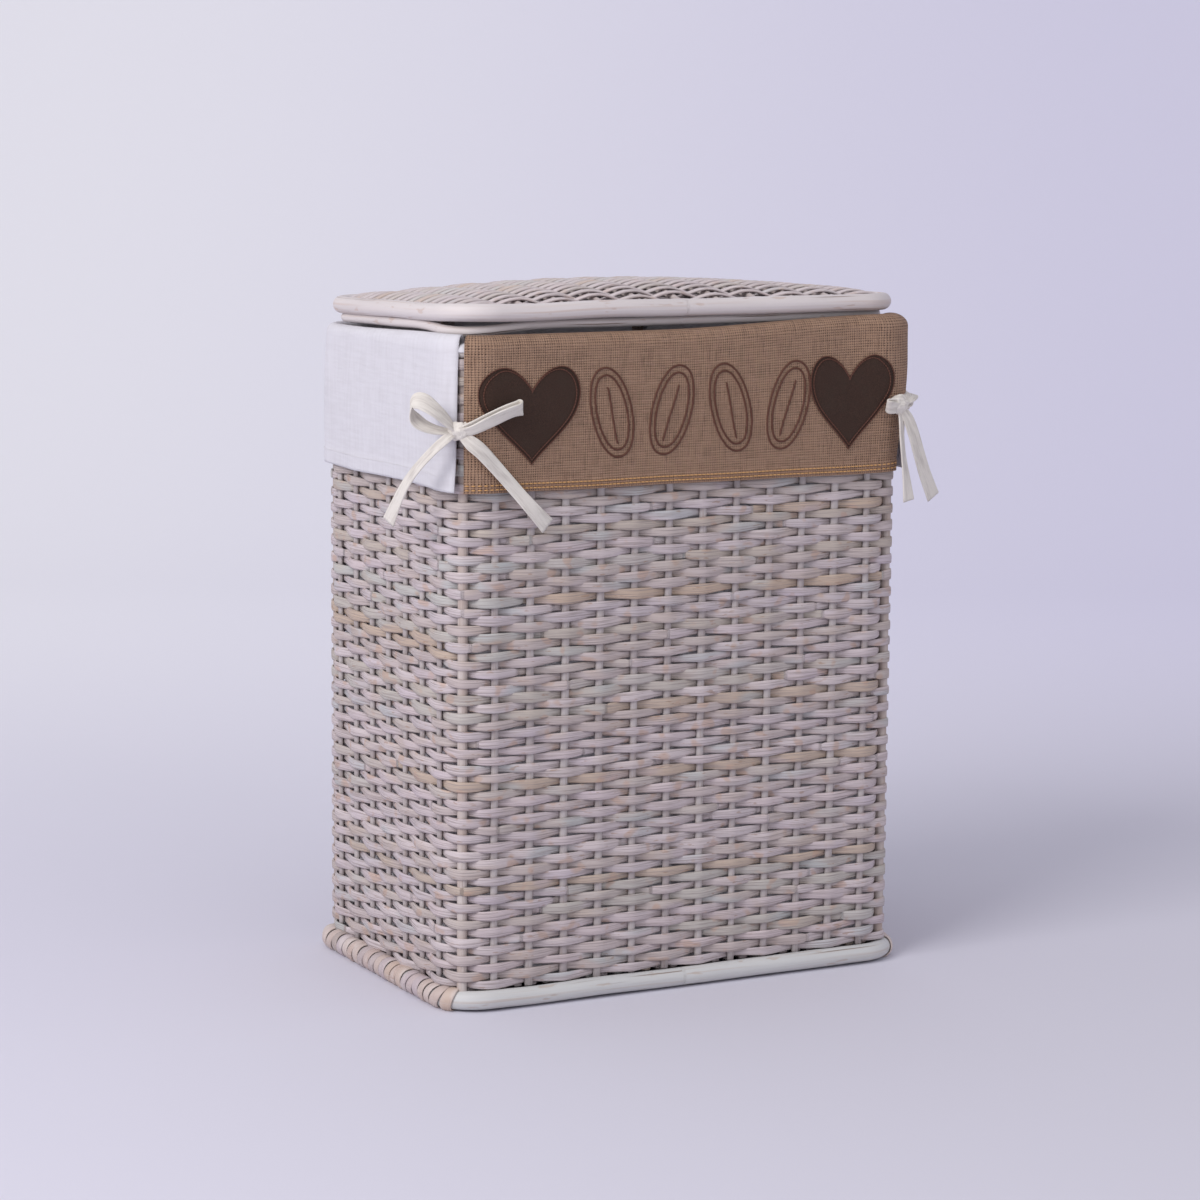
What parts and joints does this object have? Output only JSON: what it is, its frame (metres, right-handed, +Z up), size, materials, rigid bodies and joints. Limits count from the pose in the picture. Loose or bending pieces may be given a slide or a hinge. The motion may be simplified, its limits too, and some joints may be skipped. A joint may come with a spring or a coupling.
{
  "type": "woven laundry basket",
  "caption": "Tall rectangular whitewashed wicker laundry basket with a hinged lid, a fold-over cotton liner, a burlap front band with hearts, and corner bows.",
  "frame": {"origin": "middle of the base, on the floor", "axes": "+Z up, +X to the basket's right seen from the front, +Y to the back where the lid is hinged"},
  "size_m": [0.527, 0.3072, 0.6],
  "materials": {
    "wicker": "whitewashed split willow, matt, grey-lilac with tan showing through",
    "wicker_stake": "whitewashed round willow rod, matt",
    "pole_white": "white-painted rattan pole, thin satin paint with the grain showing",
    "cane_binding": "split cane, whitewashed over tan",
    "cotton": "plain white cotton, fine weave",
    "cotton_tape": "cream-white cotton tape, folded and topstitched",
    "burlap": "brown burlap, coarse open plain weave",
    "felt": "dark brown felt, outline-stitched",
    "brown_thread": "dark brown embroidery thread",
    "gold_thread": "golden brown topstitching thread"
  },
  "bodies": {
    "basket": {"base_hoop": "pole_white", "left_base_binding": "cane_binding", "right_base_binding": "cane_binding", "base_sticks": "wicker_stake", "base_weave": "wicker", "corner_posts": "pole_white", "front_stakes": "wicker_stake", "back_stakes": "wicker_stake", "left_stakes": "wicker_stake", "right_stakes": "wicker_stake", "front_weave": "wicker", "back_weave": "wicker", "left_weave": "wicker", "right_weave": "wicker", "corner_weave": "wicker", "rim_hoop": "pole_white", "liner_bag": "cotton", "liner_skirt": "cotton", "burlap_band": "burlap", "hem_stitching": "gold_thread", "left_heart": "felt", "right_heart": "felt", "stitched_leaves": "brown_thread", "left_band_tie": "cotton_tape", "left_flap_tie": "cotton_tape", "right_band_tie": "cotton_tape", "right_flap_tie": "cotton_tape"},
    "lid": {"lid_hoop": "pole_white", "lid_lower_hoop": "pole_white", "lid_ribs": "wicker_stake", "lid_weave": "wicker", "hinge_loops": "cane_binding"}
  },
  "joints": [
    {"name": "lid_hinge", "type": "hinge", "parent": "basket", "child": "lid", "pos_m": [0, 0.1385, 0.556], "axis": [-1, 0, 0], "range_deg": [0, 103]}
  ]
}
